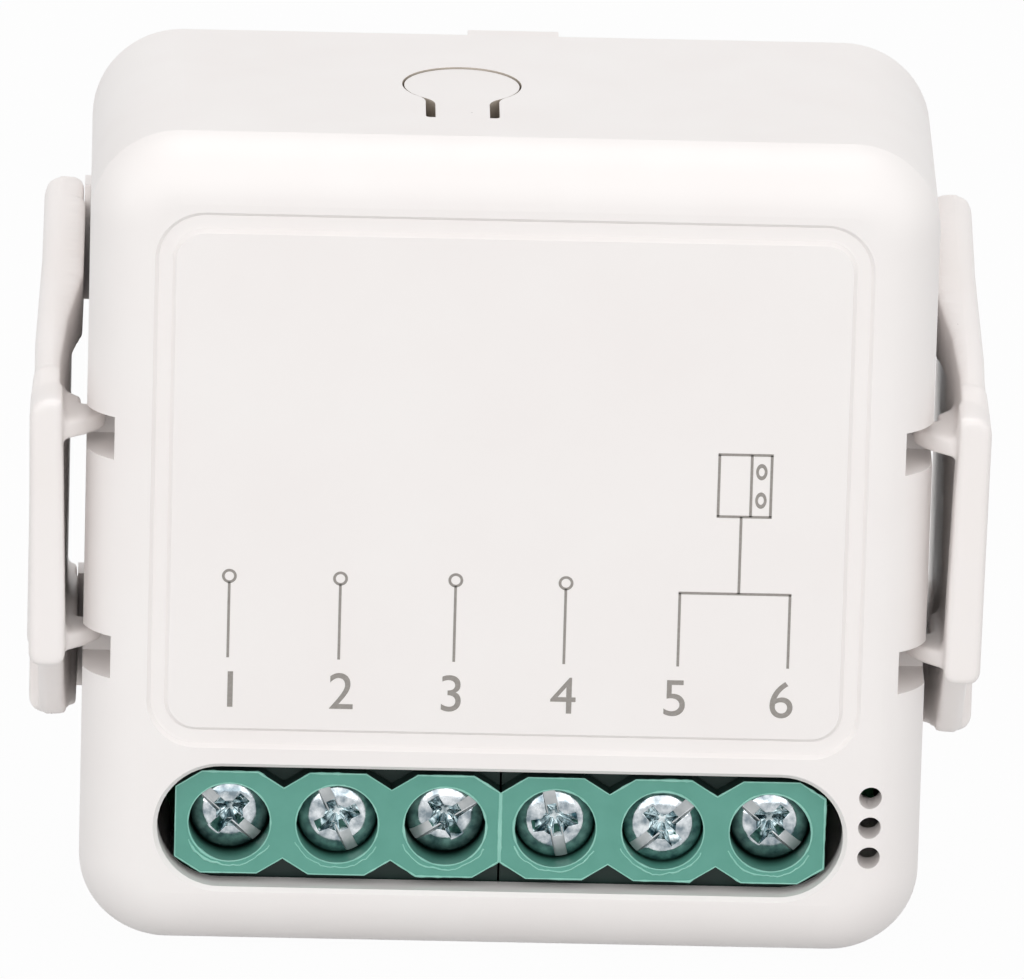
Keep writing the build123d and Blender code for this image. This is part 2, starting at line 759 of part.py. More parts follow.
# Radio board, standing on the main board near the right wall, with its shield can and pin header
radio_share = 0.787
radio_up_share = 0.473
radio_length_share = 0.698
radio_height_share = 0.949
radio_thickness = 0.8
header_share = 0.101
header_length_share = 0.465
header_height_share = 0.2
can_thickness_share = 0.101
can_length_share = 0.349
can_height_share = 0.667
can_rise_share = 0.232
radio_place, radio_level = field_place(radio_share, radio_up_share)
radio_length = radio_length_share * field_height
radio_height = radio_height_share * room
can_length = can_length_share * field_height
can_height = can_height_share * room
can_rise = can_rise_share * room
can_edge_gap = 0.15
can_level = radio_level - (radio_length - can_length) / 2 + can_edge_gap
with BuildPart() as radio_board:
    with BuildSketch(Plane.YZ.offset(radio_place)):
        with Locations((y_at(board_depth - radio_height / 2), radio_level)):
            Rectangle(radio_height, radio_length)
    extrude(amount=radio_thickness)
write(radio_board, "radio_board")

with BuildPart() as radio_shield:
    with BuildSketch(Plane.YZ.offset(radio_place)):
        with Locations((y_at(board_depth - can_rise - can_height / 2), can_level)):
            Rectangle(can_height, can_length)
    extrude(amount=-can_thickness_share * half_board)
write(radio_shield, "radio_shield")

with BuildPart() as pin_header:
    with BuildSketch(Plane.YZ.offset(radio_place + radio_thickness)):
        with Locations((y_at(board_depth - header_height_share * room / 2), radio_level)):
            Rectangle(header_height_share * room, header_length_share * field_height)
    extrude(amount=header_share * half_board)
write(pin_header, "pin_header")

# Status light on the board, in line with the pinholes
light_width = 1.2
light_length = 2.0
light_rise = 0.8
with BuildPart() as status_light:
    with BuildSketch(across(board_depth)):
        with Locations((inner_half - board_margin - light_width, light_hole_height)):
            Rectangle(light_width, light_length)
    extrude(amount=light_rise)
write(status_light, "status_light")

# Bracket: back plate with two countersunk screw holes, a tab behind the top edge,
# and lugs that reach out to the roots of the clip arms
plate_margin = 0.9
plate_corner = 3.0
tab_width = 4.25
tab_drop = 0.2
plate_screw_radius = 1.6
plate_head_radius = 2.9
plate_screw_spread = 24.0
arm_lift = 0.1
root_drop = 0.5
arm_half_root = 12.4
arm_window_half = 6.8
arm_root_gap = 0.35
arm_middle = case_middle + arm_lift
root_middle = case_middle - root_drop
arm_root_inner = half_case + rear_flare + arm_root_gap
lug_reach = arm_root_inner - hinge_gap
lug_height = arm_half_root - arm_window_half
plate_front_depth = overall_depth - plate_thickness
with BuildPart() as mounting_bracket:
    with BuildSketch(across(overall_depth)):
        with Locations((0, case_middle)):
            RectangleRounded(case_width - 2 * plate_margin, case_height - 2 * plate_margin, plate_corner)
        with Locations((0, (case_middle + case_top - tab_drop) / 2)):
            Rectangle(tab_width, case_top - tab_drop - case_middle)
        with Locations((0, root_middle)):
            with GridLocations(0, arm_half_root + arm_window_half, 1, 2):
                Rectangle(2 * lug_reach, lug_height)
    extrude(amount=plate_thickness)
    with Locations(across(plate_front_depth)):
        with Locations((0, case_middle)):
            with GridLocations(0, plate_screw_spread, 1, 2):
                CounterSinkHole(
                    radius=plate_screw_radius,
                    counter_sink_radius=plate_head_radius,
                    depth=plate_thickness,
                    counter_sink_angle=90,
                )
write(mounting_bracket, "mounting_bracket")

# Clip arms: side plates that lean in to their roots, with a finger bar and two hooks each
arm_half_bar = 6.5
bar_lift = 0.7
bar_inner_step = 0.1
bar_top_step = 0.2
bar_foot_step = 0.4
bar_span = 2.6
bar_corner = 0.55
bar_shoulder = 0.9
arm_lean = 0.34
arm_root_length = 5.4
arm_bend_depth = 6.8
arm_inner_bend_depth = 5.0
arm_root_thickness = 1.5
arm_setback = 0.35
leg_front_depth = 6.0
leg_front_rise = 2.5
leg_round = 1.5
arm_edge = 0.3
skin_share = 0.8
rim_share = 0.9
rim_middle_share = 0.5
hook_thickness = 0.87
hook_spread = 10.37
hook_reach = 0.85
hook_front_depth = 1.2
hook_bow_depth = 1.9
hook_tip_depth = 3.4
hook_gap = 0.2
hook_case_gap = 0.3
upper_gusset = 1.0
lower_gusset = 2.7
gusset_run = 1.2
arm_inner = half_case + arm_gap
arm_reach = arm_inner + arm_thickness
arm_root_reach = arm_root_inner + arm_root_thickness
arm_slope_depth = overall_depth - arm_root_length
bar_middle = case_middle + bar_lift
bar_lean = arm_lean * arm_half_bar / arm_half_root
bar_diagonal = Axis((0, 0, 0), (1, 1, 0))
with BuildPart() as right_clip_arm:
    # The front of the plate leans out towards the top, and its root is upright
    for height, lean in ((root_middle - arm_half_root, -arm_lean), (root_middle + arm_half_root, arm_lean)):
        with BuildSketch(Plane.XY.offset(height)):
            with BuildLine():
                Polyline(
                    (arm_reach + lean, y_at(0)),
                    (arm_reach + lean, y_at(arm_bend_depth)),
                    (arm_root_reach, y_at(arm_slope_depth)),
                    (arm_root_reach, y_at(overall_depth)),
                    (arm_root_inner, y_at(overall_depth)),
                    (arm_root_inner, y_at(arm_slope_depth)),
                    (arm_inner + lean, y_at(arm_inner_bend_depth)),
                    (arm_inner + lean, y_at(0)),
                    close=True,
                )
            make_face()
    loft(ruled=True)
    # Side outline: short behind the finger bar, long at the root
    with BuildSketch(Plane.YZ) as arm_side:
        with BuildLine():
            Polyline(
                (y_at(arm_setback), bar_middle - arm_half_bar + bar_shoulder),
                (y_at(arm_setback), bar_middle + arm_half_bar - bar_shoulder),
                (y_at(bar_span), bar_middle + arm_half_bar),
                (y_at(overall_depth), root_middle + arm_half_root),
                (y_at(overall_depth), root_middle - arm_half_root),
                (y_at(arm_slope_depth), root_middle - arm_half_root),
                (y_at(leg_front_depth), root_middle - arm_half_root + leg_front_rise),
                (y_at(bar_span), bar_middle - arm_half_bar),
                close=True,
            )
        make_face()
        fillet(arm_side.vertices().sort_by(Axis.Y)[:3].sort_by(Axis.X)[0], leg_round)
    extrude(amount=arm_reach + arm_lean + overrun, mode=Mode.INTERSECT)
    # Blunt rims along the top edge and the front of the lower leg
    outer_skin = right_clip_arm.faces().filter_by(lambda face: face.normal_at().X > skin_share)
    outer_rims = outer_skin.edges().filter_by(lambda rim: abs((rim % rim_middle_share).Z) < rim_share)
    upper_rims = outer_rims.filter_by(lambda rim: rim.center().Z > root_middle)
    lower_rims = outer_rims.filter_by(lambda rim: rim.center().Z < root_middle)
    chamfer(upper_rims + lower_rims.filter_by(lambda rim: rim.center().Y < y_at(arm_bend_depth)), arm_edge)
    # Open between the two legs, so that light shows past the case
    with BuildSketch(Plane.XY.offset(root_middle - arm_window_half)):
        with Locations((arm_inner - bar_lean, y_at(arm_inner_bend_depth))):
            Rectangle(
                2 * arm_thickness, overall_depth + overrun, align=(Align.MAX, Align.MIN)
            )
    extrude(amount=2 * arm_window_half, mode=Mode.SUBTRACT)
    # Finger bar with rounded corners and front edges, a little proud of the plate
    with BuildSketch(across(bar_span)) as bar_face:
        with BuildLine():
            Polyline(
                (arm_inner - bar_inner_step - bar_lean, bar_middle - arm_half_bar),
                (arm_reach + bar_foot_step - bar_lean, bar_middle - arm_half_bar),
                (arm_reach + bar_top_step + bar_lean, bar_middle + arm_half_bar),
                (arm_inner - bar_inner_step + bar_lean, bar_middle + arm_half_bar),
                close=True,
            )
        make_face()
        fillet(bar_face.vertices().sort_by(bar_diagonal)[-1], bar_shoulder)
        fillet(bar_face.vertices().sort_by(Axis.Y)[:2], bar_corner)
    extrude(amount=bar_span)
    fillet(right_clip_arm.faces().sort_by(Axis.Y)[0].edges(), arm_edge)
    # Hooks: each sweeps back into its notch and grips the notch floor
    hook_back = notch_depth - hook_gap
    hook_outer = arm_inner + bar_top_step
    hook_tip = half_case - hook_reach
    for level, gusset in (
        (arm_middle + hook_spread / 2, upper_gusset),
        (arm_middle - hook_spread / 2, lower_gusset),
    ):
        with BuildSketch(Plane.XY.offset(level - hook_thickness / 2)):
            with BuildLine():
                ThreePointArc(
                    (hook_outer, y_at(hook_front_depth)),
                    ((hook_outer + hook_tip) / 2, y_at(hook_bow_depth)),
                    (hook_tip, y_at(hook_tip_depth)),
                )
                Polyline(
                    (hook_tip, y_at(hook_tip_depth)),
                    (hook_tip, y_at(hook_back)),
                    (half_case + hook_case_gap, y_at(hook_back)),
                    (half_case + hook_case_gap, y_at(hook_back + gusset)),
                    (hook_outer, y_at(hook_back + gusset + gusset_run)),
                    (hook_outer, y_at(hook_front_depth)),
                )
            make_face()
        extrude(amount=hook_thickness)
write(right_clip_arm, "right_clip_arm")

with BuildPart() as left_clip_arm:
    add(mirror(right_clip_arm.part, about=Plane.YZ))
write(left_clip_arm, "left_clip_arm")
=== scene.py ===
import bmesh
import bpy
import json
import math
from mathutils import Matrix, Vector, noise


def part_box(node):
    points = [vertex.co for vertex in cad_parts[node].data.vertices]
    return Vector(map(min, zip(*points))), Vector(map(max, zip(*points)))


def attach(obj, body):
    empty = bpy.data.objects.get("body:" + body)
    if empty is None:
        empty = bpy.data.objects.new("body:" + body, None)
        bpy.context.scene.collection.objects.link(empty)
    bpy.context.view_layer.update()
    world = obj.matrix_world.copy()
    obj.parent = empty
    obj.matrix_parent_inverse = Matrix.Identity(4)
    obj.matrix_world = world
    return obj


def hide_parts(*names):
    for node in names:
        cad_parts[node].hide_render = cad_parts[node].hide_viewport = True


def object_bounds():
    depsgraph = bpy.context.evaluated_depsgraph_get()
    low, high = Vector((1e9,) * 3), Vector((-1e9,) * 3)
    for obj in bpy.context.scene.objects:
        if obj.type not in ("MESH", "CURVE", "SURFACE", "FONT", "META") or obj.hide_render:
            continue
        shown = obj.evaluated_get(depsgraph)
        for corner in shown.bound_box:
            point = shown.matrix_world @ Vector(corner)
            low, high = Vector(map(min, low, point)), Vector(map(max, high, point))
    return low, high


# The looks of a garage door controller: a white moulded module with six screw terminals,
# held in its bracket by two sprung side arms. Metres, in the same frame as the solids:
# X right across the front, Y from the front to the back, Z up.
mm = 0.001
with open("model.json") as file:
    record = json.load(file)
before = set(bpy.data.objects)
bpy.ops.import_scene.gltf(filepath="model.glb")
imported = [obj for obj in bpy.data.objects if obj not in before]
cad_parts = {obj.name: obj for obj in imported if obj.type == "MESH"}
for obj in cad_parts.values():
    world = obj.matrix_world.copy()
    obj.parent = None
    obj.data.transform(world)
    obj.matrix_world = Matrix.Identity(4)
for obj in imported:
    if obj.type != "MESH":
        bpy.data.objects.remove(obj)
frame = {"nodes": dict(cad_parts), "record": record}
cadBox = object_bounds()
nodes = frame["nodes"]
slotOf = {piece["node"]: piece["material_slot"] for piece in frame["record"]["subparts"]}
print("frame loaded,", len(nodes), "pieces")


# Colours are written as sRGB hex values and turned to linear here
def toLinear(hexColour, alpha=1.0):
    channels = [int(hexColour[i:i + 2], 16) / 255 for i in (1, 3, 5)]
    linear = [c / 12.92 if c <= 0.04045 else ((c + 0.055) / 1.055) ** 2.4 for c in channels]
    return (*linear, alpha)


# Adds one node, sets its sockets or its own settings, and links what feeds it
def addNode(tree, kind, settings=None, feeds=None):
    node = tree.nodes.new("ShaderNode" + kind)
    for name, value in (settings or {}).items():
        if isinstance(name, int) or name in node.inputs:
            node.inputs[name].default_value = value
        else:
            setattr(node, name, value)
    for name, source in (feeds or {}).items():
        tree.links.new(source, node.inputs[name])
    return node


# Starts a material and returns its tree, its shader and the object's own coordinates in metres
def startMaterial(name, settings):
    material = bpy.data.materials.new(name)
    material.use_nodes = True
    tree = material.node_tree
    shader = tree.nodes["Principled BSDF"]
    for socket, value in settings.items():
        shader.inputs[socket].default_value = value
    place = addNode(tree, "TexCoord").outputs["Object"]
    return material, tree, shader, place


# Texture scale that gives features of a real size in millimetres
def perSize(millimetres):
    return 1 / (millimetres * mm)


# Noise with grains of a real size, spread out between two values
def noiseRange(tree, place, size, low, high, detail=3.0, contrast=0.25):
    grains = addNode(tree, "TexNoise", {"Scale": perSize(size), "Detail": detail}, {"Vector": place})
    spread = addNode(tree, "MapRange", {
        "From Min": 0.5 - contrast, "From Max": 0.5 + contrast, "To Min": low, "To Max": high,
    }, {"Value": grains.outputs["Fac"]})
    return spread.outputs["Result"]


# Two hex colours mixed by a noise of a real size
def mottle(tree, place, size, first, second, detail=3.0, contrast=0.25):
    share = noiseRange(tree, place, size, 0.0, 1.0, detail, contrast)
    mix = addNode(tree, "Mix", {"data_type": "RGBA", 6: toLinear(first), 7: toLinear(second)}, {0: share})
    return mix.outputs[2]


# Relief with grains of a real size and height in millimetres, laid on another one
def relief(tree, place, size, height, detail, strength=1.0, under=None):
    grains = addNode(tree, "TexNoise", {"Scale": perSize(size), "Detail": detail}, {"Vector": place})
    feeds = {"Height": grains.outputs["Fac"]}
    if under:
        feeds["Normal"] = under
    raised = addNode(tree, "Bump", {"Strength": strength, "Distance": height * mm}, feeds)
    return raised.outputs["Normal"]


# Injection-moulded ABS from a finely spark-eroded tool: an even, warm white with a soft satin
# sheen, a barely visible grain and a few specks of dust.
mouldedAbs = {
    "grain": 0.16,            # mm, real grit is near 0.03 and drawn coarser so that it shows
    "grainHeight": 0.0022,
    "grainStrength": 0.5,
    "swell": 6.0,             # mm, slow unevenness of the moulded wall
    "swellHeight": 0.006,
    "sheen": 3.0,             # mm over which the gloss changes
    "sheenRange": (-0.05, 0.06),
    "speck": 1.9,             # mm between possible specks
    "speckSize": 0.022,       # share of that distance
    "speckFree": 0.9,         # share of the places that stay clean
}


def makeMouldedAbs(name, pale, warm, speckColour, roughness):
    values = mouldedAbs
    material, tree, shader, place = startMaterial(name, {
        "Roughness": roughness, "IOR": 1.53, "Specular IOR Level": 0.5,
    })
    body = mottle(tree, place, values["swell"], pale, warm, 2.0)
    cells = addNode(tree, "TexVoronoi", {"Scale": perSize(values["speck"]), "Randomness": 1.0},
                    {"Vector": place})
    near = addNode(tree, "Math", {"operation": "LESS_THAN", 1: values["speckSize"]},
                   {0: cells.outputs["Distance"]})
    chance = addNode(tree, "SeparateColor", {}, {"Color": cells.outputs["Color"]})
    few = addNode(tree, "Math", {"operation": "GREATER_THAN", 1: values["speckFree"]},
                  {0: chance.outputs[0]})
    speck = addNode(tree, "Math", {"operation": "MULTIPLY"}, {0: near.outputs[0], 1: few.outputs[0]})
    speckled = addNode(tree, "Mix", {"data_type": "RGBA", 7: toLinear(speckColour)},
                       {0: speck.outputs[0], 6: body})
    tree.links.new(speckled.outputs[2], shader.inputs["Base Color"])
    less, more = values["sheenRange"]
    sheen = noiseRange(tree, place, values["sheen"], roughness + less, roughness + more, 4.0)
    tree.links.new(sheen, shader.inputs["Roughness"])
    waves = relief(tree, place, values["swell"], values["swellHeight"], 1.0)
    grain = relief(tree, place, values["grain"], values["grainHeight"], 2.0, values["grainStrength"], waves)
    tree.links.new(grain, shader.inputs["Normal"])
    return material


# Injection-moulded glass-filled polyamide: a flat blue-green with a soft, slightly uneven gloss.
# Down in the wells and between the lobes it gets painted shade, darker with depth behind the lobes' front
# face.
mouldedPolyamide = {
    "mottle": 1.3,            # mm
    "sheen": 0.5,
    "sheenRange": (-0.07, 0.08),
    "flow": 0.25,             # mm, unevenness left by the glass fibres
    "flowHeight": 0.006,
    "flowStrength": 0.6,
    "shadeStart": 0.35,       # mm behind the lobes' front face
    "shadeEnd": 1.9,
}
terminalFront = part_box("terminal_block_left")[0].y


def makeMouldedPolyamide(name, pale, deep, shaded, roughness):
    values = mouldedPolyamide
    material, tree, shader, place = startMaterial(name, {"Roughness": roughness, "IOR": 1.53})
    body = mottle(tree, place, values["mottle"], pale, deep, 4.0)
    # Painted shade: the colour turns to the shaded one with depth behind the lobes' front face
    depth = addNode(tree, "SeparateXYZ", {}, {"Vector": place})
    shade = addNode(tree, "MapRange", {
        "interpolation_type": "SMOOTHSTEP",
        "From Min": terminalFront + values["shadeStart"] * mm,
        "From Max": terminalFront + values["shadeEnd"] * mm,
    }, {"Value": depth.outputs["Y"]})
    withPaintedShade = addNode(tree, "Mix", {"data_type": "RGBA", 7: toLinear(shaded)},
                       {0: shade.outputs["Result"], 6: body})
    tree.links.new(withPaintedShade.outputs[2], shader.inputs["Base Color"])
    less, more = values["sheenRange"]
    sheen = noiseRange(tree, place, values["sheen"], roughness + less, roughness + more, 4.0)
    tree.links.new(sheen, shader.inputs["Roughness"])
    flow = relief(tree, place, values["flow"], values["flowHeight"], 3.0, values["flowStrength"])
    tree.links.new(flow, shader.inputs["Normal"])
    return material


# Cold-headed steel with blue-passivated zinc: bright and bluish, with fine dull patches and pits.
zincPlatedSteel = {
    "mottle": 0.55,           # mm
    "mottleContrast": 0.16,
    "patch": 0.4,             # mm, of the duller patches
    "patchRange": (-0.06, 0.1),
    "pit": 0.2,
    "pitHeight": 0.006,
    "pitStrength": 0.5,
}


def makeZincPlatedSteel(name, pale, deep, roughness):
    values = zincPlatedSteel
    material, tree, shader, place = startMaterial(name, {"Metallic": 1.0, "Roughness": roughness})
    body = mottle(tree, place, values["mottle"], pale, deep, 5.0, values["mottleContrast"])
    tree.links.new(body, shader.inputs["Base Color"])
    less, more = values["patchRange"]
    patches = noiseRange(tree, place, values["patch"], roughness + less, roughness + more, 4.0)
    tree.links.new(patches, shader.inputs["Roughness"])
    pits = relief(tree, place, values["pit"], values["pitHeight"], 3.0, values["pitStrength"])
    tree.links.new(pits, shader.inputs["Normal"])
    return material


# Stamped sheet, plated: a smooth metal with long faint rolling lines.
rolledSheet = {
    "stretch": 0.06,          # of the pattern along the rolling direction
    "mottle": 0.2,            # mm
    "line": 0.08,
    "lineHeight": 0.003,
    "lineStrength": 0.5,
}


def makeRolledSheet(name, pale, deep, roughness):
    values = rolledSheet
    material, tree, shader, place = startMaterial(name, {"Metallic": 1.0, "Roughness": roughness})
    mapping = addNode(tree, "Mapping", {"Scale": (1.0, 1.0, values["stretch"])}, {"Vector": place})
    rolled = mapping.outputs["Vector"]
    tree.links.new(mottle(tree, rolled, values["mottle"], pale, deep), shader.inputs["Base Color"])
    lines = relief(tree, rolled, values["line"], values["lineHeight"], 2.0, values["lineStrength"])
    tree.links.new(lines, shader.inputs["Normal"])
    return material


# Epoxy glass board under a solder mask: glossy, with a faint weave and raised copper tracks.
maskedLaminate = {
    "track": 9.0,             # mm between tracks
    "trackWidth": 0.03,       # share of that distance
    "trackSoftness": 0.1,
    "trackHeight": 0.03,      # mm
    "trackStrength": 0.6,
    "weave": 0.5,             # mm
    "weaveHeight": 0.003,
    "weaveStrength": 0.4,
}


def makeMaskedLaminate(name, mask, track, roughness):
    values = maskedLaminate
    material, tree, shader, place = startMaterial(name, {
        "Roughness": roughness, "IOR": 1.5, "Coat Weight": 0.3, "Coat Roughness": 0.1,
    })
    tracks = addNode(tree, "TexBrick", {
        "Scale": perSize(values["track"]), "Mortar Size": values["trackWidth"],
        "Mortar Smooth": values["trackSoftness"],
        "Color1": toLinear(mask), "Color2": toLinear(mask), "Mortar": toLinear(track),
    }, {"Vector": place})
    tree.links.new(tracks.outputs["Color"], shader.inputs["Base Color"])
    weave = addNode(tree, "TexMagic", {"Scale": perSize(values["weave"]), "turbulence_depth": 1},
                    {"Vector": place})
    woven = addNode(tree, "Bump", {
        "Strength": values["weaveStrength"], "Distance": values["weaveHeight"] * mm,
    }, {"Height": weave.outputs["Fac"]})
    raised = addNode(tree, "Bump", {
        "Strength": values["trackStrength"], "Distance": values["trackHeight"] * mm,
    }, {"Height": tracks.outputs["Fac"], "Normal": woven.outputs["Normal"]})
    tree.links.new(raised.outputs["Normal"], shader.inputs["Normal"])
    return material


# Other moulded, dipped, sintered or wrapped stuff: two near shades and a grain of its own size.
grained = {
    "mottle": 2.0,            # mm
    "grainStrength": 0.6,
}


def makeGrained(name, pale, deep, roughness, grain, height, gloss=0.0):
    values = grained
    material, tree, shader, place = startMaterial(name, {
        "Roughness": roughness, "IOR": 1.5, "Coat Weight": gloss, "Coat Roughness": 0.15,
    })
    tree.links.new(mottle(tree, place, values["mottle"], pale, deep, 4.0), shader.inputs["Base Color"])
    rough = relief(tree, place, grain, height, 3.0, values["grainStrength"])
    tree.links.new(rough, shader.inputs["Normal"])
    return material


# Pad-printed ink: a flat warm grey, a little uneven.
padPrintInk = {
    "mottle": 0.12,           # mm
    "mottleContrast": 0.2,
    "grain": 0.1,
    "grainHeight": 0.004,
    "grainStrength": 0.5,
}


def makePadPrintInk(name, pale, deep):
    values = padPrintInk
    material, tree, shader, place = startMaterial(name, {"Roughness": 0.6, "IOR": 1.48})
    body = mottle(tree, place, values["mottle"], pale, deep, 5.0, values["mottleContrast"])
    tree.links.new(body, shader.inputs["Base Color"])
    grain = relief(tree, place, values["grain"], values["grainHeight"], 2.0, values["grainStrength"])
    tree.links.new(grain, shader.inputs["Normal"])
    return material


finishes = {
    "white_case": makeMouldedAbs("caseAbsMoulded", "#F6F2F0", "#F4EFED", "#8F8A86", 0.40),
    "white_bracket": makeMouldedAbs("bracketAbsMoulded", "#F6F1EF", "#F4EEEB", "#8F8A86", 0.36),
    "green_terminal": makeMouldedPolyamide("terminalPolyamideMoulded", "#5E9F90", "#559787", "#0B231E", 0.4),
    "zinc_screw": makeZincPlatedSteel("screwSteelZincPlated", "#E2E7EA", "#7F8D95", 0.11),
    "zinc_cage": makeRolledSheet("cageSteelNickelPlated", "#C4C4BF", "#A8A8A2", 0.3),
    "tinned_brass": makeRolledSheet("contactBrassTinned", "#CFCBBF", "#B3AE9F", 0.32),
    "circuit_board": makeMaskedLaminate("boardEpoxyGlassMasked", "#1C5A38", "#2D7A4C", 0.3),
    "radio_laminate": makeMaskedLaminate("radioEpoxyGlassMasked", "#16284E", "#27437A", 0.3),
    "relay_case": makeGrained("relayPolyesterMoulded", "#2B3A55", "#263349", 0.42, 0.15, 0.004),
    "ferrite": makeGrained("ferriteSintered", "#34343A", "#27272B", 0.55, 0.12, 0.01),
    "winding_tape": makeGrained("tapePolyesterWrapped", "#E0C04A", "#D2AE38", 0.3, 0.5, 0.006, 0.2),
    "capacitor_sleeve": makeGrained("sleeveVinylShrunk", "#1D2530", "#141A22", 0.25, 0.4, 0.004, 0.3),
    "varistor_coating": makeGrained("varistorEpoxyDipped", "#2C5AA8", "#254C90", 0.28, 0.6, 0.012, 0.3),
    "resistor_coating": makeGrained("resistorLacquerDipped", "#6F8F78", "#5F7F69", 0.4, 0.3, 0.008),
    "black_moulding": makeGrained("chipEpoxyMoulded", "#1B1B1D", "#121214", 0.45, 0.1, 0.004),
    "tin_can": makeRolledSheet("shieldTinplateDrawn", "#C9C9C4", "#B4B4AE", 0.28),
    "light_lens": makeGrained("lightSiliconeCast", "#F1E9B4", "#EADF9C", 0.2, 0.3, 0.003, 0.3),
}
inkGrey = makePadPrintInk("markInkPadPrinted", "#9D9893", "#908B86")
# Moulding flash, paler than the terminals: its colour is partly a painted highlight on their edges
flashWithPaintedHighlight = makeGrained("burrPolyamideFlashPaintedHighlight", "#9AD3C4", "#7FBFAF", 0.3, 0.1, 0.006)
# Painted shade for the terminals' faces behind the lobes
terminalPaintedShade = makeGrained("terminalPolyamideShaded", "#12302A", "#0B211D", 0.5, 0.25, 0.006)
# Painted shade for the walls of the slit round the button
slitPaintedShade = makeGrained("slitAbsShaded", "#CBC1B5", "#BDB3A7", 0.5, 0.2, 0.004)

for nodeName, piece in nodes.items():
    piece.data.materials.clear()
    piece.data.materials.append(finishes[slotOf[nodeName]])

# Places that several pieces need. The walls taper, so the case's bottom is higher at the front.
taperRise = 0.1 * mm
screwBoxes = [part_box(f"terminal_screw_{number}") for number in range(1, 7)]
screwPlaces = [(low + high) / 2 for low, high in screwBoxes]
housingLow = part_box("front_housing")[0]
frontFace = housingLow.y
caseBottom = housingLow.z + taperRise
buttonLow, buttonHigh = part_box("pairing_button")

# Painted shade: faces that lie in the dark of the case get a darker material
paintedShadePlaces = {
    "behind": 0.05,           # mm behind the lobes' front face
    "fromScrews": 2.1,        # mm from the screws' axes, which keeps the wells' own green
    "slitReach": 0.2,         # mm round the button
    "slitTop": 0.02,          # mm under the button's top, from where the slit is darker
    "slitBottom": 1.6,
}


def refinishFaces(node, finish, passes):
    piece = nodes[node]
    piece.data.materials.append(finish)
    for face in piece.data.polygons:
        if passes(piece.matrix_world @ face.center, face.normal):
            face.material_index = 1


# Painted shade goes round and between the lobes, behind their front face
def behindLobes(middle, normal):
    fromScrew = min(math.hypot(middle.x - place.x, middle.z - place.z) for place in screwPlaces)
    return middle.y > terminalFront + paintedShadePlaces["behind"] * mm and fromScrew > paintedShadePlaces["fromScrews"] * mm


# Painted shade goes on the walls of the slit round the button
def inSlit(middle, normal):
    reach, top, bottom = (paintedShadePlaces[key] * mm for key in ("slitReach", "slitTop", "slitBottom"))
    across = buttonLow.x - reach < middle.x < buttonHigh.x + reach
    along = buttonLow.y - reach < middle.y < buttonHigh.y + reach
    below = buttonHigh.z - bottom < middle.z < buttonHigh.z - top
    return across and along and below and abs(normal.z) < 0.5


for nodeName in ("terminal_block_left", "terminal_block_right"):
    refinishFaces(nodeName, terminalPaintedShade, behindLobes)
for nodeName in ("front_housing", "pairing_button"):
    refinishFaces(nodeName, slitPaintedShade, inSlit)
print("materials made,", len(bpy.data.materials))


# Puts mesh, curve, lamp or camera data into the scene
def linkObject(name, data):
    piece = bpy.data.objects.new(name, data)
    bpy.context.scene.collection.objects.link(piece)
    return piece


# Turns a bmesh into a mesh with its finishes
def meshFrom(shape, name, materials):
    mesh = bpy.data.meshes.new(name)
    shape.to_mesh(mesh)
    shape.free()
    for material in materials:
        mesh.materials.append(material)
    return mesh


# Makes a piece of the object from a mesh: it rides on a body
def placeMesh(name, mesh, body):
    piece = linkObject(name, mesh)
    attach(piece, body)
    return piece


# The mesh of an object with its modifiers, or of a curve or text
def shownMesh(piece):
    return bpy.data.meshes.new_from_object(piece.evaluated_get(bpy.context.evaluated_depsgraph_get()))


def applyModifiers(piece):
    mesh = shownMesh(piece)
    piece.modifiers.clear()
    piece.data = mesh


# Makes a piece from a curve or text at a place
def placeCurve(name, curve, place, finish, body):
    drawn = linkObject(name, curve)
    drawn.matrix_world = place
    bpy.context.view_layer.update()
    mesh = shownMesh(drawn)
    mesh.transform(place)
    bpy.data.objects.remove(drawn)
    mesh.materials.clear()
    mesh.materials.append(finish)
    return placeMesh(name, mesh, body)


# Wiring marks on the front panel: rings and lines over the terminals, a small symbol and numbers
print("making the marks")
marks = {
    "thickness": 0.012,       # mm of ink above the panel
    "lineWidth": 0.125,
    "ringRadius": 0.28,
    "ringSides": 28,
    "lineBottom": 14.5,       # mm above the case's bottom, as are the other heights
    "ringHeights": (18.46, 18.44, 18.47, 18.44),
    "ringPlaces": (-12.79, -7.67, -2.36, 2.72),
    "forkLeft": 7.98,
    "forkRight": 13.06,
    "forkTop": 18.08,
    "stemPlace": 10.69,
    "symbolLeft": 9.62,
    "symbolRight": 12.03,
    "symbolBottom": 21.83,
    "symbolTop": 24.83,
    "symbolDivider": 0.62,    # share of the symbol's width
    "symbolHoles": (0.27, 0.73),     # shares of its height
    "symbolHoleRadius": 0.2,
    "symbolHoleStretch": 1.5,        # the holes' height to their width
    "numberPlaces": (-12.65, -7.52, -2.43, 2.75, 7.89, 12.8),
    "numberMiddle": 12.85,
    "numberHeight": 1.85,
    "numeralShare": 0.73,     # height of a numeral in a text of size 1
}


# A closed outline of ink, filled and given its thickness
def inkOutline(shape, corners):
    points = [shape.verts.new((x * mm, frontFace, caseBottom + z * mm)) for x, z in corners]
    risen = bmesh.ops.extrude_face_region(shape, geom=[shape.faces.new(points)])
    for item in risen["geom"]:
        if isinstance(item, bmesh.types.BMVert):
            item.co.y -= marks["thickness"] * mm


# A flat strip of ink between two points of the panel, in millimetres from the case's bottom
def inkStrip(shape, start, end):
    begin, finish = Vector(start), Vector(end)
    along = (finish - begin).normalized()
    side = Vector((-along.y, along.x)) * marks["lineWidth"] / 2
    inkOutline(shape, [begin + side, finish + side, finish - side, begin - side])


